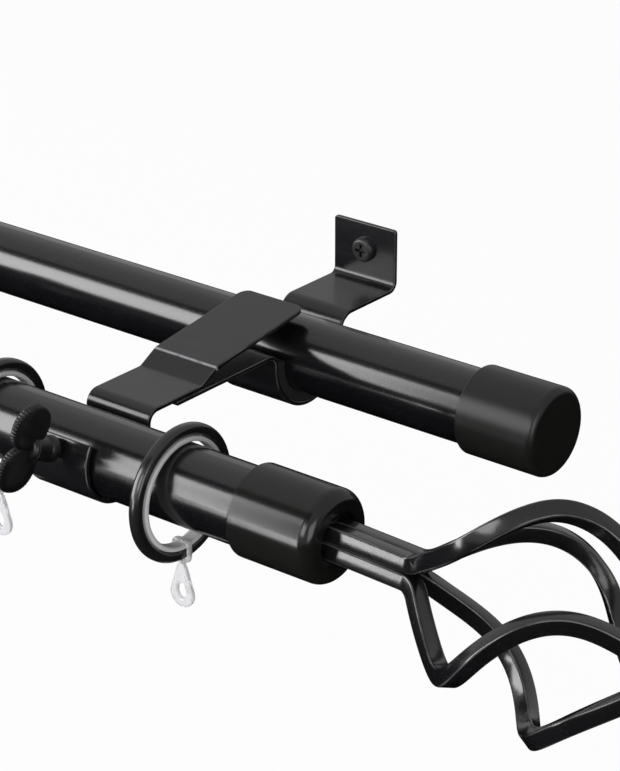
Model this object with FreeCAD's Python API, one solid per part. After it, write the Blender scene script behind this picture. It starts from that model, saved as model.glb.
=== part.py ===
import FreeCAD, Part
import math
import os

# Double curtain pole: a telescoping rear pole and a front pole with rings, on two wall brackets.
# Millimetres, +Z up, the wall is the plane Y = 0 and the poles run along X.
# The origin lies on the wall, midway between the brackets, at the height of the wall screws.

# Layout
BRACKET_X = 350.0
REAR_Y = -47.5
REAR_Z = -20.1
FRONT_Y = -140.5
FRONT_Z = -23.6

# Rear pole: a tube with a sleeve that slides on each end
TUBE_R = 12.0
TUBE_WALL = 1.0
TUBE_REACH = 50.0
SLIDING_GAP = 0.05
SLEEVE_WALL = 0.45
SLEEVE_R = TUBE_R + SLIDING_GAP + SLEEVE_WALL
SLEEVE_MOUTH = -9.0
CAP_RIM = 82.0
CAP_LENGTH = 29.0
CAP_END = CAP_RIM + CAP_LENGTH
CAP_WALL = 2.15
CAP_R = SLEEVE_R + CAP_WALL
CAP_FLOOR = 2.6
CAP_ROUND = 2.4

# Front pole and the cup that carries each finial
FRONT_R = 12.5
FRONT_WALL = 1.0
CUP_RIM = 67.8
CUP_LENGTH = 30.7
CUP_END = CUP_RIM + CUP_LENGTH
CUP_WALL = 2.15
CUP_R = FRONT_R + CUP_WALL
CUP_FLOOR = 5.0
CUP_ROUND = 4.2
CUP_RECESS_DEPTH = 3.0
PRESS_GAP = 0.02
RING_REST = 0.3

# Steel straps of the bracket
STRAP_W = 26.0
STRAP_T = 1.5
TAB_TOP = 29.6
STRAP_TOP = 9.0
TAB_BEND_R = 3.0
BACK_BEND_R = 6.0
LOOP_SPACE = 4.15
LOOP_R = SLEEVE_R + LOOP_SPACE
LAYER_BEND_R = 4.0
LAYER_END = -66.0
PLANK_RISE = 4.45
PLANK_BACK_Y = -2.0
PLANK_BACK_Z = SLEEVE_R + PLANK_RISE
PLANK_FRONT_Y = -46.5
PLANK_FRONT_Z = 10.95
ARM_START = -54.0
ARM_TOP = 7.6
ARM_BEND_R = 2.6
NECK_BEND_R = 4.0
CRADLE_SPACE = 0.9
CRADLE_BORE = FRONT_R + CRADLE_SPACE
LIP_ANGLE = 145.0
CORNER_R = 4.0
TAB_CORNER_R = 1.2

# Saddle that fills the space between the rear loop and the pole
SADDLE_W = 25.0
SADDLE_FROM = -188.0
SADDLE_TO = 8.0

# Wall screw
SCREW_HEAD_R = 4.3
SCREW_HEAD_T = 2.2
SCREW_R = 2.1
SCREW_POINT = 5.0
SCREW_LENGTH = 16.0
SCREW_HEAD_ROUND = 1.3
SCREW_HOLE_GAP = 0.1
RECESS_SPAN = 4.6
RECESS_W = 1.1
RECESS_DEPTH = 1.3

# Thumb screw of the front cradle
THUMB_ANGLE = 160.0
THUMB_R = 2.5
THUMB_TIP = FRONT_R + RING_REST
THUMB_HUB_R = 4.2
HUB_STAND = 2.1
THUMB_HUB_FROM = CRADLE_BORE + STRAP_T + HUB_STAND
THUMB_HUB_LENGTH = 11.0
THUMB_HUB_TO = THUMB_HUB_FROM + THUMB_HUB_LENGTH
HUB_ROUND = 1.5
WING_T = 2.6
WING_LOBE_R = 7.7
WING_OUT = 6.9
WING_BEYOND = 1.6
WING_ALONG = THUMB_HUB_TO + WING_BEYOND
WING_ROOT = 5.6
WING_LEAN = -10.0

# Cage of four square bars
BAR = 5.2
BAR_GAP = 0.12
CUP_RECESS_R = BAR * math.sqrt(2) + 1.2
BAR_SINK = 4.5
CAGE_IN = CUP_END - BAR_SINK
CAGE_STEM = 29.2
CAGE_FROM = CUP_END + CAGE_STEM
CAGE_LENGTH = 81.7
CAGE_R = 33.6
CAGE_POWER = 1.58
STEM_TURN = -9.0
CAGE_TURN = -79.4
CAGE_EASE = 0.2
CAGE_BLEND = 6.0
FINIAL_DROOP = 2.0
CAGE_FOOT = 12.0
CAGE_OUT = CAGE_FROM + CAGE_LENGTH + CAGE_FOOT
CAGE_MARGIN = 4.5
CAGE_SECTIONS = 36
TIP_WALL = 1.3
TIP_R = BAR * math.sqrt(2) + TIP_WALL
TIP_LENGTH = 8.5
TIP_FLOOR = 2.5
TIP_ROUND = 2.6

# Curtain rings with a slip lining and a clear eyelet
RING_PLAY = 3.9
LINING_BORE = FRONT_R + RING_PLAY
LINING_T = 1.9
RING_BORE = LINING_BORE + LINING_T
RING_T = 3.7
RING_R = RING_BORE + RING_T
RING_W = 4.0
LINING_W = 4.6
RING_EDGE = 0.8
RING_X = (387.8, 310.5, 186.0, 62.0, -62.0, -186.0, -310.5, -387.8)
CLIP_T = 1.2
CLIP_W = 3.0
CLIP_GAP = 0.15
NECK_W = 2.6
NECK_H = 3.0
EYE_W = 9.4
EYE_H = 12.4
EYE_T = 1.8
SLOT_W = 3.4
SLOT_H = 5.2

X_AXIS = FreeCAD.Vector(1, 0, 0)
Z_AXIS = FreeCAD.Vector(0, 0, 1)


def vec(x, y, z):
    return FreeCAD.Vector(x, y, z)


def rod(x0, x1, r, y, z):
    return Part.makeCylinder(r, x1 - x0, vec(x0, y, z), X_AXIS)


def tube(x0, x1, r_out, r_in, y, z):
    return rod(x0, x1, r_out, y, z).cut(rod(x0 - 1, x1 + 1, r_in, y, z))


def mirrored(shape):
    return shape.mirror(vec(0, 0, 0), X_AXIS)


def turned_about(shape, y):
    """The same shape at the other end of the poles, turned half round an upright line."""
    other = shape.copy()
    other.rotate(vec(0, y, 0), Z_AXIS, 180)
    return other


def round_circle_edges(shape, x, r, radius):
    """Rounds the turned edge at one place along the axis and one radius."""
    found = []
    for edge in shape.Edges:
        curve = edge.Curve
        if not isinstance(curve, Part.Circle):
            continue
        if abs(curve.Radius - r) < 0.01 and abs(curve.Center.x - x) < 0.01:
            found.append(edge)
    return shape.makeFillet(radius, found)


def bend_arc(before, corner, after, radius):
    """Tangent points and centre of the bend at a corner of a folded path."""
    ax, az = before[0] - corner[0], before[1] - corner[1]
    bx, bz = after[0] - corner[0], after[1] - corner[1]
    la, lb = math.hypot(ax, az), math.hypot(bx, bz)
    ax, az, bx, bz = ax / la, az / la, bx / lb, bz / lb
    half = math.acos(max(-1.0, min(1.0, ax * bx + az * bz))) / 2
    reach = radius / math.tan(half)
    start = (corner[0] + ax * reach, corner[1] + az * reach)
    end = (corner[0] + bx * reach, corner[1] + bz * reach)
    mx, mz = ax + bx, az + bz
    lm = math.hypot(mx, mz)
    away = radius / math.sin(half)
    centre = (corner[0] + mx / lm * away, corner[1] + mz / lm * away)
    return start, end, centre


def side_point(point, direction, offset):
    return (point[0] - direction[1] * offset, point[1] + direction[0] * offset)


def path_pieces(corners, radii, arc=None):
    """Straight runs and bends of a folded path; arc adds a long turn at its end."""
    pieces = []
    here = corners[0]
    for i in range(1, len(corners) - 1):
        start, end, centre = bend_arc(corners[i - 1], corners[i], corners[i + 1], radii[i - 1])
        pieces.append(("line", here, start))
        pieces.append(("arc", start, end, centre))
        here = end
    pieces.append(("line", here, corners[-1]))
    if arc:
        pieces.append(("turn", corners[-1], arc))
    return pieces


def offset_edge(piece, offset):
    """One piece of the path moved sideways, as an edge in the plane X = 0."""
    if piece[0] == "line":
        a, b = piece[1], piece[2]
        length = math.hypot(b[0] - a[0], b[1] - a[1])
        d = ((b[0] - a[0]) / length, (b[1] - a[1]) / length)
        p, q = side_point(a, d, offset), side_point(b, d, offset)
        return Part.LineSegment(vec(0, p[0], p[1]), vec(0, q[0], q[1])).toShape()
    if piece[0] == "arc":
        a, b, c = piece[1], piece[2], piece[3]
        a0 = math.atan2(a[1] - c[1], a[0] - c[0])
        sweep = math.atan2(b[1] - c[1], b[0] - c[0]) - a0
        sweep = (sweep + math.pi) % (2 * math.pi) - math.pi
        r = math.hypot(a[0] - c[0], a[1] - c[1])
    else:
        c, a0, sweep, r = piece[2]
    r = r - offset if sweep > 0 else r + offset
    points = []
    for share in (0.0, 0.5, 1.0):
        angle = a0 + sweep * share
        points.append(vec(0, c[0] + r * math.cos(angle), c[1] + r * math.sin(angle)))
    return Part.Arc(points[0], points[1], points[2]).toShape()


def ordered_ends(edge):
    first = edge.valueAt(edge.FirstParameter)
    last = edge.valueAt(edge.LastParameter)
    return first, last


def folded_strap(pieces, width, thick):
    """A strap of even thickness along the path, centred on X = 0."""
    left = [offset_edge(p, thick / 2) for p in pieces]
    right = [offset_edge(p, -thick / 2) for p in pieces]
    start = Part.LineSegment(ordered_ends(left[0])[0], ordered_ends(right[0])[0]).toShape()
    finish = Part.LineSegment(ordered_ends(left[-1])[1], ordered_ends(right[-1])[1]).toShape()
    wire = Part.Wire(Part.__sortEdges__(left + right + [start, finish]))
    face = Part.Face(wire)
    strap = face.extrude(vec(width, 0, 0))
    strap.translate(vec(-width / 2, 0, 0))
    return strap


def round_end_corners(shape, y, z, radius):
    """Rounds the two short edges through the thickness at the end of a strap's centre line."""
    found = []
    for edge in shape.Edges:
        ends = [v.Point for v in edge.Vertexes]
        if len(ends) < 2 or abs(ends[0].x - ends[1].x) > 0.01 or edge.Length > STRAP_T * 1.2:
            continue
        if all(math.hypot(p.y - y, p.z - z) < STRAP_T for p in ends):
            found.append(edge)
    return shape.makeFillet(radius, found)


def rear_strap():
    """Wall tab, shelf, loop behind and under the rear pole, and the layer under the arm."""
    half = STRAP_T / 2
    tab_y = -REAR_Y - half
    shelf = STRAP_TOP - half
    corners = [(tab_y, TAB_TOP), (tab_y, shelf), (LOOP_R, shelf), (LOOP_R, 0.0)]
    back = path_pieces(corners, (TAB_BEND_R, BACK_BEND_R), ((0.0, 0.0), 0.0, -math.pi, LOOP_R))
    layer = ARM_TOP - STRAP_T - half - PRESS_GAP
    front = path_pieces([(-LOOP_R, 0.0), (-LOOP_R, layer), (LAYER_END, layer)], (LAYER_BEND_R,))
    strap = folded_strap(back + front, STRAP_W, STRAP_T)
    strap = round_end_corners(strap, tab_y, TAB_TOP, TAB_CORNER_R)
    hole = Part.makeCylinder(SCREW_R + SCREW_HOLE_GAP, 6 * STRAP_T, vec(0, -REAR_Y - 3 * STRAP_T, -REAR_Z), vec(0, 1, 0))
    strap = strap.cut(hole)
    strap.translate(vec(BRACKET_X, REAR_Y, REAR_Z))
    return strap


def front_arm():
    """Keeper over the rear pole, arm, and the cradle with its lip for the front pole."""
    half = STRAP_T / 2
    level = ARM_TOP - half
    r = CRADLE_BORE + half
    cy = FRONT_Y - REAR_Y
    cz = FRONT_Z - REAR_Z + CRADLE_BORE - FRONT_R - PRESS_GAP
    neck = cy + r
    corners = [(PLANK_BACK_Y, PLANK_BACK_Z), (PLANK_FRONT_Y, PLANK_FRONT_Z), (ARM_START, level), (neck, level), (neck, cz)]
    turn = -math.radians(360.0 - LIP_ANGLE)
    pieces = path_pieces(corners, (ARM_BEND_R, ARM_BEND_R, NECK_BEND_R), ((cy, cz), 0.0, turn, r))
    arm = folded_strap(pieces, STRAP_W, STRAP_T)
    arm = round_end_corners(arm, PLANK_BACK_Y, PLANK_BACK_Z, CORNER_R)
    y, z = cy, FRONT_Z - REAR_Z
    u = vec(0, math.cos(math.radians(THUMB_ANGLE)), math.sin(math.radians(THUMB_ANGLE)))
    hole = Part.makeCylinder(THUMB_R + SLIDING_GAP, 5 * STRAP_T, vec(0, y, z) + u * (CRADLE_BORE - STRAP_T), u)
    arm = arm.cut(hole)
    arm.translate(vec(BRACKET_X, REAR_Y, REAR_Z))
    return arm


def pole_saddle():
    bore = SLEEVE_R + SLIDING_GAP
    outer = LOOP_R - STRAP_T / 2 - PRESS_GAP
    x = BRACKET_X - SADDLE_W / 2
    a0, a1 = math.radians(SADDLE_FROM), math.radians(SADDLE_TO)
    mid = (a0 + a1) / 2

    def at(r, a):
        return vec(x, REAR_Y + r * math.cos(a), REAR_Z + r * math.sin(a))

    edges = [
        Part.Arc(at(outer, a0), at(outer, mid), at(outer, a1)).toShape(),
        Part.LineSegment(at(outer, a1), at(bore, a1)).toShape(),
        Part.Arc(at(bore, a1), at(bore, mid), at(bore, a0)).toShape(),
        Part.LineSegment(at(bore, a0), at(outer, a0)).toShape(),
    ]
    return Part.Face(Part.Wire(edges)).extrude(vec(SADDLE_W, 0, 0))


def wall_screw():
    y = -STRAP_T
    head = Part.makeCylinder(SCREW_HEAD_R, SCREW_HEAD_T, vec(BRACKET_X, y, 0), vec(0, -1, 0))
    rim = [e for e in head.Edges if isinstance(e.Curve, Part.Circle) and abs(e.Curve.Center.y - y + SCREW_HEAD_T) < 0.01]
    head = head.makeFillet(SCREW_HEAD_ROUND, rim)
    shank = Part.makeCylinder(SCREW_R, SCREW_LENGTH - SCREW_POINT - y, vec(BRACKET_X, y, 0), vec(0, 1, 0))
    point = Part.makeCone(SCREW_R, 0.3, SCREW_POINT, vec(BRACKET_X, SCREW_LENGTH - SCREW_POINT, 0), vec(0, 1, 0))
    screw = head.fuse(shank).fuse(point).removeSplitter()
    floor = y - SCREW_HEAD_T + RECESS_DEPTH
    for span_x, span_z in ((RECESS_SPAN, RECESS_W), (RECESS_W, RECESS_SPAN)):
        corner = vec(BRACKET_X - span_x / 2, floor - SCREW_HEAD_T, -span_z / 2)
        screw = screw.cut(Part.makeBox(span_x, SCREW_HEAD_T, span_z, corner))
    return screw


def thumb_screw():
    """Wing screw with its axis along +X at first, then turned to lean on the front pole."""
    shank = Part.makeCylinder(THUMB_R, THUMB_HUB_FROM + 1 - THUMB_TIP, vec(THUMB_TIP, 0, 0), X_AXIS)
    hub = Part.makeCylinder(THUMB_HUB_R, THUMB_HUB_TO - THUMB_HUB_FROM, vec(THUMB_HUB_FROM, 0, 0), X_AXIS)
    hub = round_circle_edges(hub, THUMB_HUB_TO, THUMB_HUB_R, HUB_ROUND)
    screw = shank.fuse(hub)
    for side in (-1, 1):
        lobe = Part.makeCylinder(WING_LOBE_R, WING_T, vec(WING_ALONG, -WING_T / 2, side * WING_OUT), vec(0, 1, 0))
        foot = Part.makeBox(WING_ROOT + WING_BEYOND, WING_T, WING_OUT, vec(THUMB_HUB_TO - WING_ROOT, -WING_T / 2, min(0, side * WING_OUT)))
        screw = screw.fuse(lobe.fuse(foot))
    screw = screw.removeSplitter()
    screw.rotate(vec(0, 0, 0), X_AXIS, WING_LEAN)
    screw.rotate(vec(0, 0, 0), Z_AXIS, -90)
    screw.rotate(vec(0, 0, 0), X_AXIS, THUMB_ANGLE - 180.0)
    screw.translate(vec(BRACKET_X, FRONT_Y, FRONT_Z))
    return screw


def end_cap():
    x0, x1 = BRACKET_X + CAP_RIM, BRACKET_X + CAP_END
    cap = rod(x0, x1, CAP_R, REAR_Y, REAR_Z)
    cap = round_circle_edges(cap, x1, CAP_R, CAP_ROUND)
    cap = round_circle_edges(cap, x0, CAP_R, 0.6)
    return cap.cut(rod(x0 - 1, x1 - CAP_FLOOR, SLEEVE_R + PRESS_GAP, REAR_Y, REAR_Z))


def drooped(shape):
    """The shape leaning down with the finial, which sags a little in its cup."""
    shape.rotate(vec(BRACKET_X + CAGE_IN, FRONT_Y, FRONT_Z), vec(0, 1, 0), FINIAL_DROOP)
    return shape


def square_socket(x0, x1, turn):
    """Cutter for the hole that the four bars fill together."""
    side = 2 * BAR + BAR_GAP + 2 * PRESS_GAP
    socket = Part.makeBox(x1 - x0, side, side, vec(x0, FRONT_Y - side / 2, FRONT_Z - side / 2))
    socket.rotate(vec(x0, FRONT_Y, FRONT_Z), X_AXIS, turn)
    return socket


def finial_cup():
    x0, x1 = BRACKET_X + CUP_RIM, BRACKET_X + CUP_END
    cup = rod(x0, x1, CUP_R, FRONT_Y, FRONT_Z)
    cup = round_circle_edges(cup, x1, CUP_R, CUP_ROUND)
    cup = round_circle_edges(cup, x0, CUP_R, 0.6)
    cup = cup.cut(rod(x0 - 1, x1 - CUP_FLOOR, FRONT_R + PRESS_GAP, FRONT_Y, FRONT_Z))
    cup = cup.cut(rod(x1 - CUP_RECESS_DEPTH, x1 + 1, CUP_RECESS_R, FRONT_Y, FRONT_Z))
    return cup.cut(drooped(square_socket(x0, x1 + 1, STEM_TURN)))


def cage_tip():
    x1 = BRACKET_X + CAGE_OUT + TIP_FLOOR + PRESS_GAP
    x0 = x1 - TIP_LENGTH
    tip = rod(x0, x1, TIP_R, FRONT_Y, FRONT_Z)
    tip = round_circle_edges(tip, x1, TIP_R, TIP_ROUND)
    return drooped(tip.cut(square_socket(x0 - 1, x1 - TIP_FLOOR, STEM_TURN + CAGE_TURN)))


def cage_shape(x):
    """Distance from the axis and turn of a bar at one place along the finial."""
    rest = (BAR + BAR_GAP) / 2 * math.sqrt(2)
    t = min(1.0, max(0.0, (x - CAGE_FROM) / CAGE_LENGTH))
    swell = 1.0 - abs(2 * t - 1) ** CAGE_POWER
    turn = CAGE_TURN * (t - CAGE_EASE * math.sin(2 * math.pi * t))
    return rest + (CAGE_R - rest) * swell, turn


def eased_radius(x):
    """The distance averaged over a short stretch, so that the bar bends instead of folding."""
    total = 0.0
    for i in range(21):
        total += cage_shape(x + CAGE_BLEND * (i / 20.0 - 0.5))[0]
    return total / 21.0


def bar_point(x, start):
    angle = math.radians(start + cage_shape(x)[1])
    r = eased_radius(x)
    return vec(x, r * math.cos(angle), r * math.sin(angle))


def bar_section(x, start):
    """Square section across the bar, one diagonal pointing away from the axis."""
    here = bar_point(x, start)
    along = (bar_point(x + 0.05, start) - bar_point(x - 0.05, start)).normalize()
    angle = math.radians(start + cage_shape(x)[1])
    out = vec(0, math.cos(angle), math.sin(angle))
    out = (out - along * out.dot(along)).normalize()
    side = along.cross(out)
    half = BAR / math.sqrt(2)
    corners = [here + out * half, here + side * half, here - out * half, here - side * half]
    return Part.makePolygon(corners + [corners[0]])


def stem_piece(x0, x1, index, turn):
    """Straight stretch of a bar, where the four lie side by side."""
    angle = math.radians(90.0 * index - 135.0)
    rest = (BAR + BAR_GAP) / 2 * math.sqrt(2)
    corner = vec(x0, rest * math.cos(angle) - BAR / 2, rest * math.sin(angle) - BAR / 2)
    piece = Part.makeBox(x1 - x0, BAR, BAR, corner)
    piece.rotate(vec(0, 0, 0), X_AXIS, turn)
    return piece


def cage_bar(index):
    start = 90.0 * index - 135.0 + STEM_TURN
    first = CAGE_FROM - CAGE_MARGIN
    last = CAGE_FROM + CAGE_LENGTH + CAGE_MARGIN
    places = [first + (last - first) * i / CAGE_SECTIONS for i in range(CAGE_SECTIONS + 1)]
    bar = Part.makeLoft([bar_section(x, start) for x in places], True, False)
    bar = bar.fuse(stem_piece(CAGE_IN, first, index, STEM_TURN))
    bar = bar.fuse(stem_piece(last, CAGE_OUT, index, STEM_TURN + CAGE_TURN))
    bar.translate(vec(BRACKET_X, FRONT_Y, FRONT_Z))
    return drooped(bar)


def ring_height():
    return FRONT_Z + FRONT_R - LINING_BORE + RING_REST


def curtain_ring(x):
    z = ring_height()
    ring = rod(x - RING_W / 2, x + RING_W / 2, RING_R, FRONT_Y, z)
    ring = round_circle_edges(ring, x - RING_W / 2, RING_R, RING_EDGE)
    ring = round_circle_edges(ring, x + RING_W / 2, RING_R, RING_EDGE)
    return ring.cut(rod(x - RING_W, x + RING_W, RING_BORE, FRONT_Y, z))


def ring_lining(x):
    z = ring_height()
    lining = tube(x - LINING_W / 2, x + LINING_W / 2, RING_BORE - PRESS_GAP, LINING_BORE, FRONT_Y, z)
    for side in (-1, 1):
        lining = round_circle_edges(lining, x + side * LINING_W / 2, LINING_BORE, 0.5)
    return lining


def ring_eyelet(x):
    """Clear clip round the foot of the ring, with a slotted drop below it."""
    z = ring_height()
    half = LINING_W / 2 + CLIP_GAP
    low = z - RING_R - CLIP_GAP
    high = z - LINING_BORE + CLIP_GAP + 0.07
    y = FRONT_Y - CLIP_W / 2
    clip = Part.makeBox(2 * (half + CLIP_T), CLIP_W, high - low + 2 * CLIP_T, vec(x - half - CLIP_T, y, low - CLIP_T))
    clip = clip.makeFillet(0.8, [e for e in clip.Edges if abs(e.Vertexes[0].Point.y - e.Vertexes[1].Point.y) > 1])
    clip = clip.cut(Part.makeBox(2 * half, CLIP_W + 2, high - low, vec(x - half, y - 1, low)))
    neck_z = low - CLIP_T - NECK_H
    neck = Part.makeBox(NECK_W, EYE_T, NECK_H + 2, vec(x - NECK_W / 2, FRONT_Y - EYE_T / 2, neck_z - 1.6))
    r = EYE_W / 2
    foot = neck_z - EYE_H + r
    drop = Part.makeCylinder(r, EYE_T, vec(x, FRONT_Y - EYE_T / 2, foot), vec(0, 1, 0))
    top = neck_z
    wedge = Part.makePolygon([
        vec(x - r * 0.97, FRONT_Y - EYE_T / 2, foot + r * 0.24),
        vec(x + r * 0.97, FRONT_Y - EYE_T / 2, foot + r * 0.24),
        vec(x + NECK_W / 2, FRONT_Y - EYE_T / 2, top),
        vec(x - NECK_W / 2, FRONT_Y - EYE_T / 2, top),
        vec(x - r * 0.97, FRONT_Y - EYE_T / 2, foot + r * 0.24),
    ])
    drop = drop.fuse(Part.Face(wedge).extrude(vec(0, EYE_T, 0)))
    slot_r = SLOT_W / 2
    slot = Part.makeBox(SLOT_W, EYE_T + 2, SLOT_H - SLOT_W, vec(x - slot_r, FRONT_Y - EYE_T / 2 - 1, foot))
    for lift in (0.0, SLOT_H - SLOT_W):
        slot = slot.fuse(Part.makeCylinder(slot_r, EYE_T + 2, vec(x, FRONT_Y - EYE_T / 2 - 1, foot + lift), vec(0, 1, 0)))
    return clip.fuse(neck).fuse(drop).removeSplitter().cut(slot)


def build():
    reach = BRACKET_X + TUBE_REACH
    pole_end = BRACKET_X + CUP_END - CUP_FLOOR - PRESS_GAP
    sleeve_end = BRACKET_X + CAP_END - CAP_FLOOR - PRESS_GAP
    sleeve = tube(BRACKET_X + SLEEVE_MOUTH, sleeve_end, SLEEVE_R, TUBE_R + SLIDING_GAP, REAR_Y, REAR_Z)
    nodes = {
        "rear_pole": tube(-reach, reach, TUBE_R, TUBE_R - TUBE_WALL, REAR_Y, REAR_Z),
        "front_pole": tube(-pole_end, pole_end, FRONT_R, FRONT_R - FRONT_WALL, FRONT_Y, FRONT_Z),
    }
    pairs = {
        "rear_sleeve": sleeve,
        "rear_cap": end_cap(),
        "rear_strap": rear_strap(),
        "front_arm": front_arm(),
        "pole_saddle": pole_saddle(),
        "wall_screw": wall_screw(),
    }
    for name, shape in pairs.items():
        nodes[name + "_right"] = shape
        nodes[name + "_left"] = mirrored(shape)
    thumb = thumb_screw()
    nodes["thumb_screw_right"] = thumb
    other = thumb.copy()
    other.translate(vec(-2 * BRACKET_X, 0, 0))
    nodes["thumb_screw_left"] = other
    finial = {"finial_cup": finial_cup(), "cage_tip": cage_tip()}
    for name, shape in finial.items():
        nodes[name + "_right"] = shape
        nodes[name + "_left"] = turned_about(shape, FRONT_Y)
    for i in range(4):
        bar = cage_bar(i)
        nodes["cage_bar_right_%d" % (i + 1)] = bar
        nodes["cage_bar_left_%d" % (i + 1)] = turned_about(bar, FRONT_Y)
    for i, x in enumerate(RING_X):
        nodes["ring_%d" % (i + 1)] = curtain_ring(x)
        nodes["ring_lining_%d" % (i + 1)] = ring_lining(x)
        nodes["ring_eyelet_%d" % (i + 1)] = ring_eyelet(x)
    return nodes


os.makedirs("parts", exist_ok=True)
for node, shape in build().items():
    if len(shape.Solids) == 1:
        shape = shape.Solids[0]
    print(node, len(shape.Solids), shape.isValid(), round(shape.Volume, 1), shape.BoundBox)
    shape.exportStep("parts/%s.step" % node)
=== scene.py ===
import math

import bpy
import numpy as np
from mathutils import Matrix, Vector


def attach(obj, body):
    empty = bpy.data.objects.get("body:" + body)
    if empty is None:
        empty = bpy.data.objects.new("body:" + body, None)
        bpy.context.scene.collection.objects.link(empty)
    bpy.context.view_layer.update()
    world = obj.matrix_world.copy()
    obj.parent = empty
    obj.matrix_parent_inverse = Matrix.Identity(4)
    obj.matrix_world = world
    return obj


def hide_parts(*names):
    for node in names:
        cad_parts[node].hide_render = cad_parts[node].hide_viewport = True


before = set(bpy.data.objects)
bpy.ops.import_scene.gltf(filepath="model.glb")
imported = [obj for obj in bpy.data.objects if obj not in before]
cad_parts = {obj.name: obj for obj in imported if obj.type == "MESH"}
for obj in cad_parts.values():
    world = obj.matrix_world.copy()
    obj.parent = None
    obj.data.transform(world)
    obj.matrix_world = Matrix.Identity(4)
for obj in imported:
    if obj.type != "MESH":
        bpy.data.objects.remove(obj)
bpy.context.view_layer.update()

# Sizes are in millimetres and angles in degrees. X runs along the poles, Y into the wall, Z up.
MM = 0.001
BRACKET_X = 350.0
REAR_Y, REAR_Z = -47.5, -20.1
FRONT_Y, FRONT_Z = -140.5, -23.6

# Folded strips; their depths and heights count from the axis of the rear pole.
STRIP_W, STRIP_T, STRIP_EDGE = 26.0, 1.5, 0.42
FLAT_MARGIN_T, FLAT_MARGIN_W = 0.15, 0.25
STRAP_CORNER, ARM_CORNER = 1.2, 4.0
FOLD_STEP = 0.4
LOOP_R = 16.65
SHELF_TOP, TAB_TOP = 9.0, 29.6
ARM_TOP, LAYER_GAP, LAYER_END = 7.6, 0.02, -66.0
TAB_BENDS, LAYER_BENDS, ARM_BENDS = (3.0, 6.0), (4.0,), (2.6, 2.6, 4.0)
PLANK_END, PLANK_CREASE, SLOPE_FOOT = (-2.0, 16.95), (-46.5, 10.95), -54.0
CRADLE_R, CRADLE_LIFT, CRADLE_SWEEP = 13.4, 0.88, 215.0

# Wing screws; lengths along the screw count from the axis of the front pole.
THUMB_LEAN, WINGS_TURN = 160.0, -10.0
LOBE_OUT, LOBE_R, LOBE_ALONG, LOBE_THICK = 6.9, 7.7, 29.6, 1.75
LOBE_POWER = 2 / 0.55
TEETH, TOOTH = 44.0, 0.22
SCREW_TIP, HUB_BASE, HUB_TOP = 12.8, 17.0, 28.0
TIP_R, SHANK_R, COLLAR_R, WAIST_R, HUB_R = 1.6, 2.5, 4.2, 3.7, 4.1
COLLAR_EASE, HUB_EASE = 0.5, 1.5
THREAD_PITCH, THREAD_DEPTH, THREAD_STEP = 0.8, 0.28, 0.08

# Rings. A section is the radius of its middle, its thickness, its width and its power.
RING_X = (387.8, 310.5, 186.0, 62.0, -62.0, -186.0, -310.5, -387.8)
RING_Z = -27.2
RING_SECTION = (20.16, 3.66, 3.98, 2.7)
LINING_SECTION = (17.36, 1.88, 4.58, 3.4)
EYE_Z, BAND_Z = -61.25, -46.4
DROP_R, DROP_STRETCH, DROP_THICK = 4.65, 5.9, 0.88
HOLE_WIDE, HOLE_TALL, HOLE_UP = 1.7, 2.6, 0.9
BAND_WIDE, BAND_TALL, BAND_POWER = 3.0, 3.5, 5.0
BAND_THIN, BAND_DEEP = 0.42, 1.1

# Bars of the basket finials; lengths along the finial count from the bracket.
BAR, BAR_GAP, BAR_CORNER = 5.2, 0.12, 0.7
CAGE_IN, CAGE_FROM, CAGE_LENGTH, CAGE_OUT = 94.0, 127.7, 81.7, 221.4
CAGE_R, CAGE_POWER, CAGE_EASE = 33.6, 1.58, 0.2
CAGE_BLEND, BLEND_STEPS = 6.0, 20
FIRST_BAR, STEM_TURN, CAGE_TURN, FINIAL_DROOP = -135.0, -9.0, -79.4, 2.0
BAR_END_SHARE = 0.9

# Points on each rounded corner of the two swept sections, which the painted edge highlights
# follow.
BAR_CORNER_POINTS, STRIP_CORNER_POINTS = 5, 7

# Metres from the strip's rounded end to the bend that carries a painted highlight; a place before
# the end paints none.
ARM_CREASE, NO_CREASE, CREASE_WIDTH = 0.0452, -1.0, 0.0016

# Sockets of a mix node that is set to colours.
MIX_UNDER, MIX_OVER, MIX_RESULT = 6, 7, 2

# The room, in metres: how white it is to the camera and in gloss, and its light on the part.
ROOM_SEEN, FLOOR_SEEN, MIRRORED = 1.0, 0.96, 0.42
AMBIENT = (0.10, 0.10, 0.105, 1.0)
WHITE, BLACK, PALE = (1.0, 1.0, 1.0, 1.0), (0.0, 0.0, 0.0, 1.0), (0.8, 0.8, 0.8, 1.0)
FLOOR_REACH, FLOOR_Z = 6, -0.38
CARD_REACH, CARD_Z = 5, -0.37
FRONT_CARD = [(-3.0, -0.93, 0.84), (0.6, -0.93, 0.84), (0.6, -0.62, 1.06), (-3.0, -0.62, 1.06)]

# Lamps: place, what each one faces, width and height, and the brightness of its face.
LAMPS = (
    ("streak_lamp", (-1.40, -1.22, 0.39), (-1.40, -0.09, -0.02), (2.0, 1.1), 6.0),
    ("stem_lamp", (-0.32, -1.34, -0.22), (0.46, -0.14, -0.02), (0.20, 0.28), 10.0),
    ("cage_lamp", (0.35, -1.25, 0.50), (0.50, -0.14, -0.02), (0.7, 0.5), 4.0),
    ("top_lamp", (-0.35, 0.35, 1.5), (0.0, -0.05, 0.0), (2.4, 1.4), 1.0),
    ("side_lamp", (1.7, -0.9, 0.35), (0.45, -0.1, 0.0), (0.9, 0.9), 2.4),
)
OUT_OF_GLOSS = ("top_lamp",)

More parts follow.
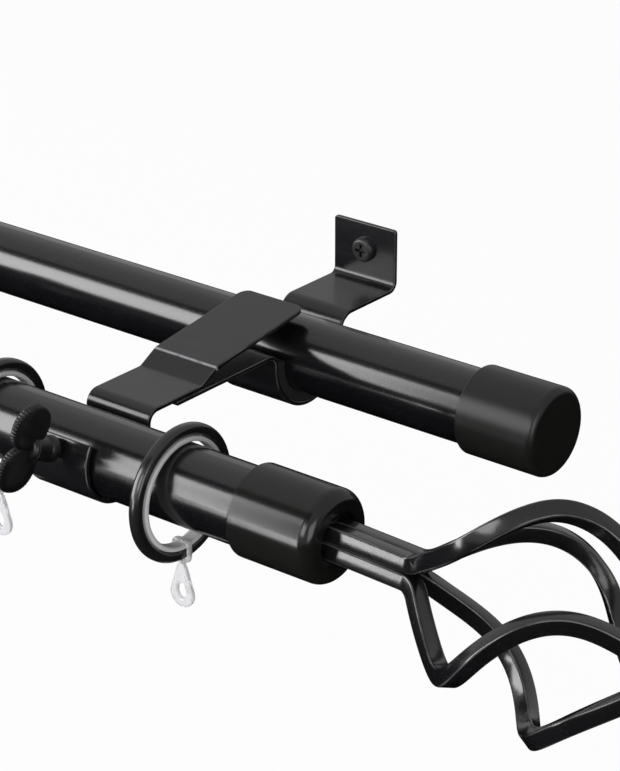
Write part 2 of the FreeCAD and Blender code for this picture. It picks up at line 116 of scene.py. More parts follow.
# The view: focal length and picture height in pixels, then its place and three directions.
FOCAL_ROWS, PICTURE_ROWS, SENSOR = 2779.0, 771.0, 36.0
VIEW_PLACE = (0.8873, -0.7018, 0.3421)
VIEW_RIGHT, VIEW_UP = (0.7804, 0.6252, 0.0), (-0.2543, 0.3174, 0.9135)
VIEW_AHEAD = (-0.5712, 0.713, -0.4067)
NEAREST, FARTHEST = 0.01, 50.0


class Signal:
    """A socket that can be used in arithmetic; every operator adds one Math node."""

    def __init__(self, finish, socket):
        self.finish, self.socket = finish, socket

    def _math(self, operation, other):
        return self.finish.node("ShaderNodeMath", {"operation": operation}, {0: self, 1: other})

    def __add__(self, other):
        return self._math("ADD", other)

    def __sub__(self, other):
        return self._math("SUBTRACT", other)

    def __mul__(self, other):
        return self._math("MULTIPLY", other)


class Finish:
    """A material whose nodes all come from node()."""

    def __init__(self, name):
        self.material = bpy.data.materials.new(name)
        self.material.use_nodes = True
        self.tree = self.material.node_tree
        self.shader = self.tree.nodes["Principled BSDF"]

    def node(self, kind, settings=None, inputs=None, output=0):
        """Adds one node: its settings first, then values or links for its sockets."""
        made = self.tree.nodes.new(kind)
        for key, value in (settings or {}).items():
            if key == "stops":
                self._stops(made.color_ramp, value)
            else:
                setattr(made, key, value)
        for key, value in (inputs or {}).items():
            self._feed(made.inputs[key], value)
        return Signal(self, made.outputs[output])

    def _feed(self, socket, value):
        if isinstance(value, Signal):
            self.tree.links.new(value.socket, socket)
        else:
            socket.default_value = value

    def _stops(self, ramp, stops):
        while len(ramp.elements) < len(stops):
            ramp.elements.new(0.5)
        for element, (place, level) in zip(ramp.elements, stops):
            element.position = place
            element.color = (level, level, level, 1.0)

    def _stretched(self, spot, stretch):
        return self.node("ShaderNodeMapping", {}, {"Vector": spot, "Scale": stretch})

    def _run(self):
        return self.node("ShaderNodeUVMap", {"uv_map": "run"})

    def place(self, stretch=(1.0, 1.0, 1.0)):
        """Object coordinates, stretched by a Mapping node."""
        return self._stretched(self.node("ShaderNodeTexCoord", output="Object"), stretch)

    def along(self, stretch):
        """A swept piece's own coordinates, lengthwise and round its section, stretched."""
        return self._stretched(self._run(), stretch)

    def rims(self, corner_points):
        """1 on the four rounded corners of a swept piece and 0 on its flats: a cosine of the way
        round its section, whose points are shared out evenly between the corners."""
        girth = self.node("ShaderNodeSeparateXYZ", {}, {0: self._run()}, output=1)
        middle = (corner_points - 1) / 2 / corner_points
        turn = (girth * 4.0 - middle) * (2 * math.pi)
        wave = self.node("ShaderNodeMath", {"operation": "COSINE"}, {0: turn})
        return self.ramp(wave * 0.5 + 0.5, (0.50, 0.0), (0.95, 1.0))

    def band(self, middle, width):
        """1 at one length along a swept piece, falling evenly to 0 at half a width from it."""
        length = self.node("ShaderNodeSeparateXYZ", {}, {0: self._run()}, output=0)
        away = self.node("ShaderNodeMath", {"operation": "ABSOLUTE"}, {0: length - middle})
        settings = {"operation": "SUBTRACT", "use_clamp": True}
        return self.node("ShaderNodeMath", settings, {0: 1.0, 1: away * (2 / width)})

    def noise(self, where, scale, detail=3.0):
        """Cloudy values about 0.5: scale sets their size, detail adds finer ones."""
        inputs = {"Vector": where, "Scale": scale, "Detail": detail, "Roughness": 0.55}
        return self.node("ShaderNodeTexNoise", {}, inputs)

    def ramp(self, value, *stops):
        """Maps a value through stops, each a place and a level."""
        return self.node("ShaderNodeValToRGB", {"stops": stops}, {"Fac": value})

    def mix(self, amount, under, over):
        """Lays the colour over on another colour, or on a signal, by an amount from 0 to 1."""
        under = under if isinstance(under, Signal) else (*under, 1.0)
        inputs = {0: amount, MIX_UNDER: under, MIX_OVER: (*over, 1.0)}
        return self.node("ShaderNodeMix", {"data_type": "RGBA"}, inputs, output=MIX_RESULT)

    def bump(self, height, strength, distance, under=None):
        """A relief of the given strength and depth in metres, laid on the one under it."""
        inputs = {"Height": height, "Strength": strength, "Distance": distance}
        if under is not None:
            inputs["Normal"] = under
        return self.node("ShaderNodeBump", {}, inputs)

    def set(self, **values):
        """Feeds the surface's inputs, each named with underscores, and gives the material."""
        for key, value in values.items():
            self._feed(self.shader.inputs[key.replace("_", " ")], value)
        return self.material


def pole_enamel():
    """Gloss black enamel on drawn tube: faint lines along the pole, specks of dust, fine peel."""
    f = Finish("pole_enamel")
    lines = f.noise(f.place((6.0, 900.0, 900.0)), 1.0, 2.0)
    cloud = f.noise(f.place(), 38.0, 4.0)
    dust = f.ramp(f.noise(f.place(), 2600.0, 1.0), (0.70, 0.0), (0.78, 1.0))
    peel = f.noise(f.place(), 520.0, 2.0)
    coat = f.mix(cloud, (0.0040, 0.0040, 0.0050), (0.0080, 0.0078, 0.0092))
    return f.set(
        Base_Color=f.mix(dust * 0.35, coat, (0.08, 0.08, 0.08)),
        Roughness=lines * 0.10 + cloud * 0.08 + dust * 0.15 + 0.13,
        Normal=f.bump(lines, 0.06, 0.0002, f.bump(peel, 0.05, 0.0003)),
        Coat_Weight=0.6, Coat_Roughness=0.16,
    )


def strap_enamel(name, crease):
    """Satin black powder coat on folded strip, a little violet, with a fine pebble and handling
    marks. Painted highlights lie on its rims, in patches, and on the bend at the crease along the
    strip."""
    f = Finish(name)
    pebble = f.noise(f.place(), 1900.0, 2.0)
    peel = f.noise(f.place(), 420.0, 3.0)
    cloud = f.noise(f.place(), 60.0, 4.0)
    rubs = f.ramp(f.noise(f.place((30.0, 260.0, 260.0)), 1.0, 5.0), (0.56, 0.0), (0.74, 1.0))
    patches = f.ramp(f.noise(f.place(), 90.0, 4.0), (0.40, 0.0), (0.62, 1.0))
    # Painted highlight: the strip's rounded rims are painted pale, broken into patches.
    edge_highlight = f.rims(STRIP_CORNER_POINTS) * patches
    # Painted highlight: a pale line across the bend at the crease, broken up by noise.
    breaks = f.ramp(f.noise(f.place(), 240.0, 3.0), (0.28, 0.3), (0.5, 1.0))
    across = f.ramp(f.band(crease, CREASE_WIDTH), (0.25, 0.0), (0.9, 1.0)) * breaks
    coat = f.mix(cloud, (0.0070, 0.0064, 0.0075), (0.0130, 0.0118, 0.0138))
    handled = f.mix(rubs * 0.3, coat, (0.04, 0.037, 0.042))
    # The painted rim highlight, laid over the handled coat.
    rims_highlit = f.mix(edge_highlight * 0.6, handled, (0.20, 0.195, 0.205))
    return f.set(
        # The painted crease highlight, laid over the rims.
        Base_Color=f.mix(across * 0.8, rims_highlit, (0.50, 0.49, 0.51)),
        Roughness=cloud * 0.10 + pebble * 0.06 - rubs * 0.05 + 0.16,
        Normal=f.bump(pebble, 0.06, 0.0001, f.bump(peel, 0.08, 0.0003)),
        Coat_Weight=0.3, Coat_Roughness=0.15,
    )


def cap_moulding(name, dull):
    """Black moulding of the end caps and cups, finely grained; dull is its least roughness."""
    f = Finish(name)
    grain = f.noise(f.place(), 3100.0, 2.0)
    cloud = f.noise(f.place(), 70.0, 3.0)
    turned = f.noise(f.place((1700.0, 8.0, 8.0)), 1.0, 1.0)
    shade = cloud * 0.6 + grain * 0.4
    return f.set(
        Base_Color=f.mix(shade, (0.0075, 0.0075, 0.0070), (0.0155, 0.0150, 0.0140)),
        Roughness=grain * 0.12 + cloud * 0.08 + dull,
        Normal=f.bump(turned, 0.03, 0.0002, f.bump(grain, 0.10, 0.0001)),
    )


def bar_enamel():
    """Black on twisted square bar: long draw marks, small hammer flats and a painted highlight
    along the edges, in patches.
    """
    f = Finish("bar_enamel")
    marks = f.noise(f.along((10.0, 18.0, 1.0)), 1.0, 3.0)
    flats = f.noise(f.place(), 210.0, 2.0)
    cloud = f.noise(f.place(), 55.0, 4.0)
    worn = f.ramp(f.noise(f.place(), 800.0, 3.0), (0.60, 0.0), (0.75, 1.0))
    patches = f.ramp(f.noise(f.place(), 70.0, 4.0), (0.36, 0.0), (0.62, 1.0))
    # Painted highlight: the bar's rounded corners are painted pale, broken into patches.
    edge_highlight = f.rims(BAR_CORNER_POINTS) * patches
    coat = f.mix(cloud, (0.0060, 0.0056, 0.0062), (0.0130, 0.0120, 0.0134))
    handled = f.mix(worn * 0.3, coat, (0.05, 0.048, 0.052))
    return f.set(
        Base_Color=f.mix(edge_highlight * 0.7, handled, (0.16, 0.155, 0.165)),
        Roughness=marks * 0.12 + cloud * 0.06 + 0.10,
        Normal=f.bump(marks, 0.10, 0.0002, f.bump(flats, 0.14, 0.0006)),
        Coat_Weight=0.5, Coat_Roughness=0.14,
    )


def ring_enamel():
    """Gloss black on the rings, with fine turned lines round each one."""
    f = Finish("ring_enamel")
    turned = f.noise(f.place((2400.0, 14.0, 14.0)), 1.0, 2.0)
    cloud = f.noise(f.place(), 90.0, 3.0)
    return f.set(
        Base_Color=f.mix(cloud, (0.010, 0.010, 0.011), (0.021, 0.020, 0.022)),
        Roughness=turned * 0.08 + cloud * 0.08 + 0.16,
        Normal=f.bump(turned, 0.08, 0.0002),
        Coat_Weight=0.5, Coat_Roughness=0.15,
    )


def slip_nylon():
    """Pale milky nylon that lines each ring, unevenly clouded, with fine turned lines."""
    f = Finish("slip_nylon")
    milk = f.noise(f.place(), 130.0, 3.0)
    grain = f.noise(f.place((1900.0, 60.0, 60.0)), 1.0, 2.0)
    return f.set(
        Base_Color=f.mix(milk, (0.80, 0.80, 0.79), (0.92, 0.925, 0.92)),
        Roughness=grain * 0.14 + milk * 0.08 + 0.24,
        Normal=f.bump(grain, 0.08, 0.0002),
        Transmission_Weight=0.12, IOR=1.5,
    )


def eyelet_clear():
    """Half-clear moulded eyelet with faint flow marks."""
    f = Finish("eyelet_clear")
    flow = f.noise(f.place((300.0, 300.0, 90.0)), 1.0, 3.0)
    return f.set(
        Base_Color=f.mix(flow, (0.80, 0.80, 0.815), (0.90, 0.90, 0.915)),
        Roughness=flow * 0.16 + 0.20,
        Normal=f.bump(flow, 0.10, 0.0003),
        Transmission_Weight=0.62, IOR=1.42,
    )


def screw_finish(name, dark, pale, dull):
    """Blackened steel of the small screws, with turning marks and rubs three times as pale;
    dull is its least roughness."""
    f = Finish(name)
    turning = f.noise(f.place(), 2300.0, 2.0)
    cloud = f.noise(f.place(), 300.0, 3.0)
    rub = f.ramp(cloud, (0.56, 0.0), (0.70, 1.0))
    steel = f.mix(turning, dark, pale)
    return f.set(
        Base_Color=f.mix(rub * 0.4, steel, tuple(3.0 * c for c in pale)),
        Roughness=turning * 0.16 + cloud * 0.10 + dull,
        Normal=f.bump(turning, 0.10, 0.0001, f.bump(cloud, 0.14, 0.0003)),
    )


def saddle_rubber():
    """Dull black packing in the rear loop, slightly chalky."""
    f = Finish("saddle_rubber")
    chalk = f.noise(f.place(), 420.0, 4.0)
    grain = f.noise(f.place(), 3000.0, 1.0)
    return f.set(
        Base_Color=f.mix(chalk, (0.010, 0.010, 0.010), (0.028, 0.027, 0.026)),
        Roughness=chalk * 0.15 + grain * 0.1 + 0.55,
        Normal=f.bump(grain, 0.2, 0.0001),
    )


def unit(v):
    """Vectors scaled to length 1."""
    return v / np.linalg.norm(v, axis=-1, keepdims=True)


def grid_mesh(name, points, material, run=None, endless=False):
    """A mesh from an array rows x columns x 3 of points; the columns close on themselves.
    Each cell is one face. The end rows are capped, or joined where the surface is endless, as on
    a ring. run gives each row's length from the start, in metres; with the share of the way round
    it makes the coordinates of a piece that isn't endless."""
    rows, columns = points.shape[:2]
    flat = points.reshape(-1, 3) * MM
    steps = np.arange(rows if endless else rows - 1)
    row, column = np.meshgrid(steps, np.arange(columns), indexing="ij")
    here, below = row * columns, (row + 1) % rows * columns
    after = (column + 1) % columns
    faces = np.stack([here + column, here + after, below + after, below + column], -1)
    faces = faces.reshape(-1, 4).tolist()
    if not endless:
        faces.append(list(range(columns))[::-1])
        faces.append([(rows - 1) * columns + c for c in range(columns)])
    mesh = bpy.data.meshes.new(name)
    mesh.from_pydata(flat.tolist(), [], faces)
    if run is not None:
        layer = mesh.uv_layers.new(name="run")
        length = run[np.stack([row, row, row + 1, row + 1], -1)]
        girth = np.stack([column, column + 1, column + 1, column], -1) / columns
        place = np.zeros((len(mesh.loops), 2), np.float32)
        place[:length.size] = np.stack([length.ravel(), girth.ravel()], -1)
        layer.data.foreach_set("uv", place.ravel())
    mesh.shade_smooth()
    mesh.materials.append(material)
    piece = bpy.data.objects.new(name, mesh)
    bpy.context.scene.collection.objects.link(piece)
    return piece


def quarter_circle(count):
    """Points on a quarter of a circle of radius 1, from the first axis to the second."""
    turn = np.linspace(0.0, math.pi / 2, count)
    return np.stack([np.cos(turn), np.sin(turn)], -1)


def oval(count, power):
    """Points round a superellipse of half-size 1: cosine and sine raised to two over the power,
    with their signs."""
    turn = np.linspace(0.0, 2 * math.pi, count, endpoint=False)
    c, s = np.cos(turn), np.sin(turn)
    return np.sign(c) * np.abs(c) ** (2 / power), np.sign(s) * np.abs(s) ** (2 / power)


def rounded_square(side, corner, count):
    """Outline of a square with round corners: four quarter circles, each with its middle set in
    by the corner radius."""
    quarter = quarter_circle(count) * corner + (side / 2 - corner)
    outline = []
    for a in np.arange(4) * math.pi / 2:
        spin = np.array([[math.cos(a), math.sin(a)], [-math.sin(a), math.cos(a)]])
        outline.append(quarter @ spin)
    return np.concatenate(outline)


def fold_line(corners, radii, turn=None):
    """Centre line of a folded strip in the plane across the poles: straight runs joined by arcs
    that touch both runs, each cut into equal steps. turn adds one long arc, given as its middle,
    first angle, sweep and radius. Gives the points and the direction at each one."""
    stretches = []

    def straight(a, b):
        count = max(2, int(np.linalg.norm(b - a) / FOLD_STEP))
        share = np.linspace(0.0, 1.0, count, endpoint=False)[:, None]
        stretches.append((a + (b - a) * share, np.repeat(unit(b - a)[None], count, 0)))

    def bend(middle, first, sweep, radius):
        count = max(6, int(abs(sweep) * radius / FOLD_STEP))
        angle = first + sweep * np.linspace(0.0, 1.0, count, endpoint=False)
        ring = np.stack([np.cos(angle), np.sin(angle)], -1)
        ahead = np.stack([-ring[:, 1], ring[:, 0]], -1) * np.sign(sweep)
        stretches.append((middle + radius * ring, ahead))

    corners = [np.array(c, float) for c in corners]
    here = corners[0]
    for before, corner, after, radius in zip(corners, corners[1:], corners[2:], radii):
        a, b = unit(before - corner), unit(after - corner)
        half = math.acos(float(a @ b)) / 2
        touch, leave = (corner + way * radius / math.tan(half) for way in (a, b))
        middle = corner + unit(a + b) * radius / math.sin(half)
        straight(here, touch)
        first = math.atan2(*(touch - middle)[::-1])
        last = math.atan2(*(leave - middle)[::-1])
        bend(middle, first, (last - first + math.pi) % (2 * math.pi) - math.pi, radius)
        here = leave
    straight(here, corners[-1])
    if turn:
        bend(np.array(turn[0]), *turn[1:])
    return tuple(np.concatenate(rows) for rows in zip(*stretches))


def strip_outline():
    """Cross-section of the strip: a rectangle with quarter-circle corners, and a point beside
    each corner on every flat."""
    quarter = quarter_circle(STRIP_CORNER_POINTS - 2) * STRIP_EDGE
    beside = [[STRIP_EDGE, -FLAT_MARGIN_T]], [[-FLAT_MARGIN_W, STRIP_EDGE]]
    quarter = np.concatenate([beside[0], quarter, beside[1]])
    reach = np.array([STRIP_W / 2 - STRIP_EDGE, STRIP_T / 2 - STRIP_EDGE])
    one = quarter + reach
    two = (one * [-1, 1])[::-1]
    return np.concatenate([one, two, -one, -two])


def folded_strip(name, side, line, material, end_corner):
    """The strip's outline carried along a folded line. Over the first stretch the width shrinks
    by a quarter circle, and both ends pull in by the radius of their worn edge."""
    points, ahead = line
    gap = np.linalg.norm(np.diff(points, axis=0), axis=-1)
    run = np.concatenate([[0.0], np.cumsum(gap)])

    def pulled(distance, radius):
        short = np.clip(radius - distance, 0.0, radius)
        return radius - np.sqrt(radius ** 2 - short ** 2)

    def eased(radius, count):
        return radius * (1 - np.cos(np.linspace(0.0, math.pi / 2, count)))

    fine = [eased(end_corner, 14), [end_corner + 0.3], eased(STRIP_EDGE, 5)]
    fine = np.unique(np.concatenate(fine))
    plain = run[(run > fine[-1] + 0.1) & (run < run[-1] - STRIP_EDGE - 0.1)]
    place = np.concatenate([fine, plain, run[-1] - fine[fine <= STRIP_EDGE][::-1]])
    at = np.stack([np.interp(place, run, points[:, i]) for i in range(2)], -1)
    way = unit(np.stack([np.interp(place, run, ahead[:, i]) for i in range(2)], -1))
    edge = pulled(place, STRIP_EDGE) + pulled(run[-1] - place, STRIP_EDGE)
    narrow = edge + pulled(place, end_corner)
    outline = strip_outline()
    across = outline[:, 0] * (1 - narrow[:, None] / (STRIP_W / 2))
    thick = outline[:, 1] * (1 - edge[:, None] / (STRIP_T / 2) * 0.999)
    shape = np.stack([
        across + side * BRACKET_X,
        at[:, None, 0] + thick * way[:, None, 1] + REAR_Y,
        at[:, None, 1] - thick * way[:, None, 0] + REAR_Z,
    ], -1)
    return grid_mesh(name, shape, material, run=place * MM)


def rear_strap_line():
    """Wall tab, shelf, loop behind and under the rear pole, and the layer under the arm."""
    tab, shelf = -REAR_Y - STRIP_T / 2, SHELF_TOP - STRIP_T / 2
    layer = ARM_TOP - 1.5 * STRIP_T - LAYER_GAP
    wall = [(tab, TAB_TOP), (tab, shelf), (LOOP_R, shelf), (LOOP_R, 0.0)]
    room = [(-LOOP_R, 0.0), (-LOOP_R, layer), (LAYER_END, layer)]
    back = fold_line(wall, TAB_BENDS, ((0.0, 0.0), 0.0, -math.pi, LOOP_R))
    front = fold_line(room, LAYER_BENDS)
    return tuple(np.concatenate([a, b]) for a, b in zip(back, front))


def front_arm_line():
    """Plank over the rear pole, slope, arm, neck, and the cradle round the front pole up to its
    lip."""
    level = ARM_TOP - STRIP_T / 2
    radius = CRADLE_R + STRIP_T / 2
    y, z = FRONT_Y - REAR_Y, FRONT_Z - REAR_Z + CRADLE_LIFT
    neck = [(y + radius, level), (y + radius, z)]
    corners = [PLANK_END, PLANK_CREASE, (SLOPE_FOOT, level), *neck]
    return fold_line(corners, ARM_BENDS, ((y, z), 0.0, -math.radians(CRADLE_SWEEP), radius))


def set_by_thumb(points, side):
    """Turns points of the screw, whose axis starts along X, to lean on the front pole, and moves
    them there."""
    def turned(p, a, b, degrees):
        c, s = math.cos(math.radians(degrees)), math.sin(math.radians(degrees))
        q = p.copy()
        q[..., a], q[..., b] = p[..., a] * c - p[..., b] * s, p[..., a] * s + p[..., b] * c
        return q

    points = turned(points, 1, 2, WINGS_TURN)
    points = turned(points, 0, 1, -90.0)
    points = turned(points, 1, 2, THUMB_LEAN - 180.0)
    return points + np.array([side * BRACKET_X, FRONT_Y, FRONT_Z])


def thumb_wings(name, side, material):
    """Two cast lobes. Each is swept outwards through the angle of a circle whose rim carries
    small rounded teeth; the cross-section is a superellipse, as tall as the circle there and
    thinning to the tip."""
    angle = np.linspace(-math.asin(LOBE_OUT / LOBE_R), math.pi / 2 - 0.02, 170)
    rim = LOBE_R - TOOTH * (0.5 + 0.5 * np.cos(angle * TEETH))
    out = LOBE_OUT + rim * np.sin(angle)
    tall = rim * np.cos(angle)
    far = np.clip(np.abs(out - LOBE_OUT) / LOBE_R, 0.0, 0.999)
    thick = LOBE_THICK * (1 - far ** 5) ** 0.4 * (0.86 + 0.14 * far)
    out = np.concatenate([-out[::-1], out[1:]])
    tall, thick = (np.concatenate([v[::-1], v[1:]]) for v in (tall, thick))
    u, v = oval(40, LOBE_POWER)
    lengthwise = LOBE_ALONG + tall[:, None] * u
    points = np.stack([lengthwise, thick[:, None] * v, out[:, None] + 0 * u], -1)
    return grid_mesh(name, set_by_thumb(points, side), material)


def thumb_barrel(name, side, material):
    """Turned shank with rounded threads, collar and hub: a radius that changes along the axis,
    swept round."""
    shank = np.arange(SCREW_TIP, HUB_BASE, THREAD_STEP)
    wave = 0.5 + 0.5 * np.cos((shank - SCREW_TIP) * 2 * math.pi / THREAD_PITCH)
    bend = np.linspace(0.0, math.pi / 2, 8)
    shoulder = HUB_TOP - HUB_EASE
    x = np.concatenate([
        [SCREW_TIP], shank,
        [HUB_BASE], HUB_BASE + COLLAR_EASE * (1 - np.cos(bend)),
        [HUB_BASE + 3.0, HUB_BASE + 3.3, HUB_BASE + 3.7],
        np.linspace(HUB_BASE + 4.0, shoulder, 12), shoulder + HUB_EASE * np.sin(bend),
    ])
    r = np.concatenate([
        [TIP_R], SHANK_R - THREAD_DEPTH * wave ** 1.5,
        [SHANK_R], COLLAR_R - COLLAR_EASE + COLLAR_EASE * np.sin(bend),
        [COLLAR_R, 3.9, WAIST_R],
        np.linspace(WAIST_R, HUB_R, 12), HUB_R - HUB_EASE + HUB_EASE * np.cos(bend),
    ])
    turn = np.linspace(0.0, 2 * math.pi, 56, endpoint=False)
    c, s = np.cos(turn), np.sin(turn)
    points = np.stack([x[:, None] + 0 * turn, r[:, None] * c, r[:, None] * s], -1)
    return grid_mesh(name, set_by_thumb(points, side), material)


def turned_ring(name, x, section, material):
    """Ring turned from a superellipse section: the section's middle runs round a circle."""
    middle, thick, wide, power = section
    u, v = oval(28, power)
    turn = np.linspace(0.0, 2 * math.pi, 128, endpoint=False)[:, None]
    reach = middle + thick / 2 * u
    y, z = FRONT_Y + reach * np.cos(turn), RING_Z + reach * np.sin(turn)
    points = np.stack([x - wide / 2 * v + 0 * turn, y, z], -1)
    return grid_mesh(name, points, material, endless=True)


def gloss_ring(name, x, material):
    """The black ring itself."""
    return turned_ring(name, x, RING_SECTION, material)


def slip_lining(name, x, material):
    """The pale lining in the ring's bore."""
    return turned_ring(name, x, LINING_SECTION, material)


def clear_drop(name, x, material):
    """Flat eyelet between two loops, a drop outside and an oval hole inside, with a superellipse
    section. The drop is a circle below; above, its height is stretched and its width shrinks."""
    u, v = oval(20, 3.0)
    turn = np.linspace(0.0, 2 * math.pi, 96, endpoint=False)
    up = np.clip(-np.cos(turn), 0.0, 1.0)
    wide = np.sign(np.sin(turn)) * np.abs(np.sin(turn)) ** (1 - 0.45 * up)
    wide = DROP_R * wide * (1 - 0.42 * up ** 1.5)
    outer = np.stack([wide, -DROP_R * np.cos(turn) + DROP_STRETCH * up ** 2], -1)
    hole = np.stack([HOLE_WIDE * np.sin(turn), HOLE_UP - HOLE_TALL * np.cos(turn)], -1)
    middle, half = (outer + hole) / 2, (outer - hole) / 2
    flat = middle[:, None] + half[:, None] * u[None, :, None]
    depth = FRONT_Y + DROP_THICK * v + 0 * flat[..., 0]
    points = np.stack([x + flat[..., 0], depth, EYE_Z + flat[..., 1]], -1)
    return grid_mesh(name, points, material, endless=True)


def clear_band(name, x, material):
    """Thin clip round the ring: a flat oval section carried round a superellipse, always square
    to it. The outward direction is the superellipse's gradient."""
    u, v = oval(16, 2.6)
    a, b = oval(64, BAND_POWER)
    loop = np.stack([BAND_WIDE * a, BAND_TALL * b], -1)
    rise = BAND_POWER - 1
    steep = [np.sign(w) * np.abs(w) ** rise / half for w, half in ((a, BAND_WIDE), (b, BAND_TALL))]
    out = unit(np.stack(steep, -1))
    flat = loop[:, None] + BAND_THIN * out[:, None] * u[None, :, None]
    depth = FRONT_Y + BAND_DEEP * v + 0 * flat[..., 0]
    points = np.stack([x + flat[..., 0], depth, BAND_Z + flat[..., 1]], -1)
    return grid_mesh(name, points, material, endless=True)


def cage_line(x, start):
    """Centre line of a bar. Its distance from the axis rises from the stem and falls again as one
    less the power of the distance from mid-length, averaged over a short stretch; its turn goes
    evenly with a sine added."""
    rest = (BAR + BAR_GAP) / 2 * math.sqrt(2)

    def swell(at):
        t = np.clip((at - CAGE_FROM) / CAGE_LENGTH, 0.0, 1.0)
        return rest + (CAGE_R - rest) * (1.0 - np.abs(2 * t - 1) ** CAGE_POWER)

    shares = [i / BLEND_STEPS - 0.5 for i in range(BLEND_STEPS + 1)]
    reach = np.mean([swell(x + CAGE_BLEND * share) for share in shares], axis=0)
    t = np.clip((x - CAGE_FROM) / CAGE_LENGTH, 0.0, 1.0)
    angle = np.radians(start + CAGE_TURN * (t - CAGE_EASE * np.sin(2 * math.pi * t)))
    return np.stack([x, reach * np.cos(angle), reach * np.sin(angle)], -1), angle


def drooped(points):
    """Tips points about the cup's mouth, so that the finial sinks a little towards its end."""
    c, s = math.cos(math.radians(FINIAL_DROOP)), math.sin(math.radians(FINIAL_DROOP))
    reach, height = points[..., 0] - CAGE_IN, points[..., 2]
    x, z = CAGE_IN + reach * c + height * s, height * c - reach * s
    return np.stack([x, points[..., 1], z], -1)


def cage_bar(name, side, index, material):
    """Square bar with eased corners carried along the bowed, twisted line, with one diagonal
    pointing away from the axis. The left finial is the right one turned half round."""
    start = FIRST_BAR + 90.0 * index + STEM_TURN
    x = np.concatenate([
        [CAGE_IN, CAGE_IN + 0.4],
        np.linspace(CAGE_IN + 4, CAGE_FROM - 4.5, 12),
        np.linspace(CAGE_FROM - 4, CAGE_FROM + CAGE_LENGTH + 4, 150),
        [CAGE_OUT - 5, CAGE_OUT - 0.4, CAGE_OUT],
    ])
    centre, angle = cage_line(x, start)
    tangent = unit(cage_line(x + 0.05, start)[0] - cage_line(x - 0.05, start)[0])
    out = np.stack([0 * x, np.cos(angle), np.sin(angle)], -1)
    out = unit(out - tangent * np.sum(out * tangent, -1, keepdims=True))
    across = np.cross(tangent, out)
    outline = rounded_square(BAR, BAR_CORNER, BAR_CORNER_POINTS)
    c = math.cos(math.pi / 4)
    u = (outline[:, 0] + outline[:, 1]) * c
    v = (outline[:, 1] - outline[:, 0]) * c
    ends = np.ones(len(x))
    ends[0] = ends[-1] = BAR_END_SHARE
    section = out[:, None] * u[None, :, None] + across[:, None] * v[None, :, None]
    points = drooped(centre[:, None] + section * ends[:, None, None])
    points = points + np.array([BRACKET_X, FRONT_Y, FRONT_Z])
    gap = np.linalg.norm(np.diff(centre, axis=0), axis=-1)
    run = np.concatenate([[0.0], np.cumsum(gap)]) * MM
    if side < 0:
        points = points * np.array([-1.0, -1.0, 1.0]) + np.array([0.0, 2 * FRONT_Y, 0.0])
    return grid_mesh(name, points, material, run=run)


def light(name, place, aim, size, radiance):
    """Rectangular lamp at place that faces aim; its power follows from the brightness of its face
    and its area."""
    lamp = bpy.data.lights.new(name, "AREA")
    lamp.shape = "RECTANGLE"
    lamp.size, lamp.size_y = size
    lamp.energy = radiance * math.pi * size[0] * size[1]
    piece = bpy.data.objects.new(name, lamp)
    bpy.context.scene.collection.objects.link(piece)
    back = (Vector(place) - Vector(aim)).normalized()
    right = Vector((0.0, 0.0, 1.0)).cross(back).normalized()
    turn = Matrix((right, back.cross(right), back)).transposed().to_4x4()
    piece.matrix_world = Matrix.Translation(Vector(place)) @ turn
    piece.visible_camera = False
    piece.visible_glossy = name not in OUT_OF_GLOSS


def shown_white(tree, under, white, output, seen):
    """Shows white in place of under: by the share seen for rays from the camera or through clear
    plastic, by MIRRORED for gloss, and not at all for the rest."""
    path = tree.nodes.new("ShaderNodeLightPath")
    rays = (("Is Camera Ray", seen), ("Is Transmission Ray", seen), ("Is Glossy Ray", MIRRORED))
    total = None
    for ray, share in rays:
        scaled = tree.nodes.new("ShaderNodeMath")
        scaled.operation = "MULTIPLY"
        scaled.inputs[1].default_value = share
        tree.links.new(path.outputs[ray], scaled.inputs[0])
        if total is None:
            total = scaled.outputs[0]
            continue
        either = tree.nodes.new("ShaderNodeMath")
        either.operation = "MAXIMUM"
        tree.links.new(total, either.inputs[0])
        tree.links.new(scaled.outputs[0], either.inputs[1])
        total = either.outputs[0]
    mix = tree.nodes.new("ShaderNodeMixShader")
    for socket, source in enumerate((total, under.outputs[0], white.outputs[0])):
        tree.links.new(source, mix.inputs[socket])
    tree.links.new(mix.outputs[0], tree.nodes[output].inputs[0])


def sheet(name, corners, material):
    """One flat face between four corners."""
    piece = bpy.data.objects.new(name, bpy.data.meshes.new(name))
    piece.data.from_pydata(corners, [], [(0, 1, 2, 3)])
    piece.data.materials.append(material)
    bpy.context.scene.collection.objects.link(piece)
    return piece


def level_square(reach, z):
    """Corners of a level square round the middle."""
    return [(-reach, -reach, z), (reach, -reach, z), (reach, reach, z), (-reach, reach, z)]


def dark_card(name, corners):
    """Black velvet that only the gloss of the enamel shows."""
    velvet = Finish(name).set(Base_Color=BLACK, Specular_IOR_Level=0.0)
    card = sheet(name, corners, velvet)
    for kind in ("camera", "diffuse", "shadow", "transmission"):
        setattr(card, f"visible_{kind}", False)


def studio():
    """White room, pale floor, two dark cards and five soft lamps."""
    scene = bpy.context.scene
    scene.view_settings.view_transform = "Standard"
    world = bpy.data.worlds.new("white_room")
    world.use_nodes = True
    scene.world = world
    tree = world.node_tree
    back, white = tree.nodes["Background"], tree.nodes.new("ShaderNodeBackground")
    white.inputs["Color"].default_value = WHITE
    back.inputs["Color"].default_value = AMBIENT
    shown_white(tree, back, white, "World Output", ROOM_SEEN)

    pale = Finish("pale_floor")
    matt = pale.set(Base_Color=PALE, Roughness=0.9)
    floor = sheet("floor", level_square(FLOOR_REACH, FLOOR_Z), matt)
    glow = pale.tree.nodes.new("ShaderNodeEmission")
    shown_white(pale.tree, pale.shader, glow, "Material Output", FLOOR_SEEN)
    dark_card("under_card", level_square(CARD_REACH, CARD_Z))
    dark_card("front_card", FRONT_CARD)
    for row in LAMPS:
        light(*row)


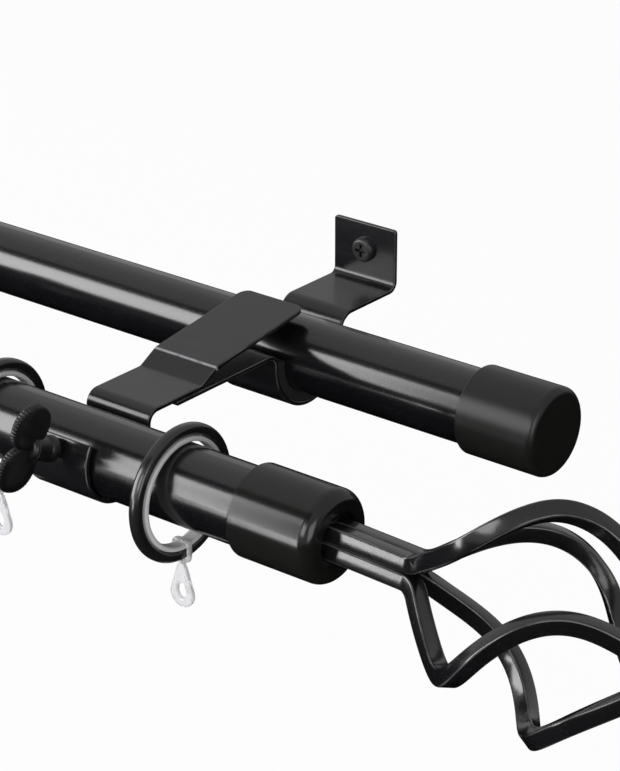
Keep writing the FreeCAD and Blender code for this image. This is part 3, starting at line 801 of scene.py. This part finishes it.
def camera():
    """Camera whose place, turn and lens fit the poles, the cups and the rings."""
    lens = bpy.data.cameras.new("view")
    lens.sensor_width = SENSOR
    lens.lens = FOCAL_ROWS * SENSOR / PICTURE_ROWS
    lens.clip_start, lens.clip_end = NEAREST, FARTHEST
    eye = bpy.data.objects.new("view", lens)
    bpy.context.scene.collection.objects.link(eye)
    axes = Matrix((VIEW_RIGHT, VIEW_UP, -Vector(VIEW_AHEAD))).transposed().to_4x4()
    eye.matrix_world = Matrix.Translation(Vector(VIEW_PLACE)) @ axes
    bpy.context.scene.camera = eye


def dress(nodes, finishes):
    """Gives each CAD node the finish whose word its name starts with."""
    for name, piece in nodes.items():
        word = next(w for w in finishes if name.startswith(w))
        piece.data.materials.clear()
        piece.data.materials.append(finishes[word])


bars = bar_enamel()
finishes = {
    "rear_pole": pole_enamel(),
    "rear_strap": strap_enamel("strap_enamel", NO_CREASE),
    "front_arm": strap_enamel("arm_enamel", ARM_CREASE),
    "rear_cap": cap_moulding("cap_moulding", dull=0.24),
    "finial_cup": cap_moulding("cup_moulding", dull=0.07),
    "cage_bar": bars,
    "ring_lining": slip_nylon(),
    "ring_eyelet": eyelet_clear(),
    "ring_": ring_enamel(),
    "wall_screw": screw_finish(
        "wall_screw_black", dark=(0.012, 0.012, 0.013), pale=(0.03, 0.03, 0.032), dull=0.25),
    "thumb_screw": screw_finish(
        "thumb_screw_black", dark=(0.004, 0.004, 0.004), pale=(0.010, 0.010, 0.010), dull=0.20),
    "pole_saddle": saddle_rubber(),
}
finishes["front_pole"] = finishes["rear_sleeve"] = finishes["rear_pole"]
finishes["cage_tip"] = finishes["rear_cap"]
dress(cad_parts, finishes)

STRIPS = (
    ("wall_strap", "rear_strap", rear_strap_line(), STRAP_CORNER),
    ("pole_arm", "front_arm", front_arm_line(), ARM_CORNER),
)
SCREW_PIECES = (("cast_wings", thumb_wings), ("screw_barrel", thumb_barrel))
RING_PIECES = (
    (gloss_ring, "gloss_ring", "ring_", "ring_black", "ring_"),
    (slip_lining, "slip_lining", "ring_lining_", "lining_pale", "ring_lining"),
    (clear_drop, "clear_drop", "ring_eyelet_", "eyelet_clear", "ring_eyelet"),
    (clear_band, "clear_band", "ring_eyelet_", "eyelet_clear", "ring_eyelet"),
)

for side, word in ((1, "right"), (-1, "left")):
    for index in range(4):
        piece = cage_bar(f"wrought_bar_{word}_{index + 1}", side, index, bars)
        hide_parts(f"cage_bar_{word}_{index + 1}")
        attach(piece, "frame")

    for name, node, line, corner in STRIPS:
        piece = folded_strip(f"{name}_{word}", side, line, finishes[node], corner)
        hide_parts(f"{node}_{word}")
        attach(piece, "frame")

    for name, make in SCREW_PIECES:
        piece = make(f"{name}_{word}", side, finishes["thumb_screw"])
        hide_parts(f"thumb_screw_{word}")
        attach(piece, f"thumb_{word}")

for number, x in enumerate(RING_X, start=1):
    for make, word, node, slot, finish in RING_PIECES:
        piece = make(f"{word}_{number}", x, finishes[finish])
        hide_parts(f"{node}{number}")
        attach(piece, f"ring_{number}")

studio()
camera()
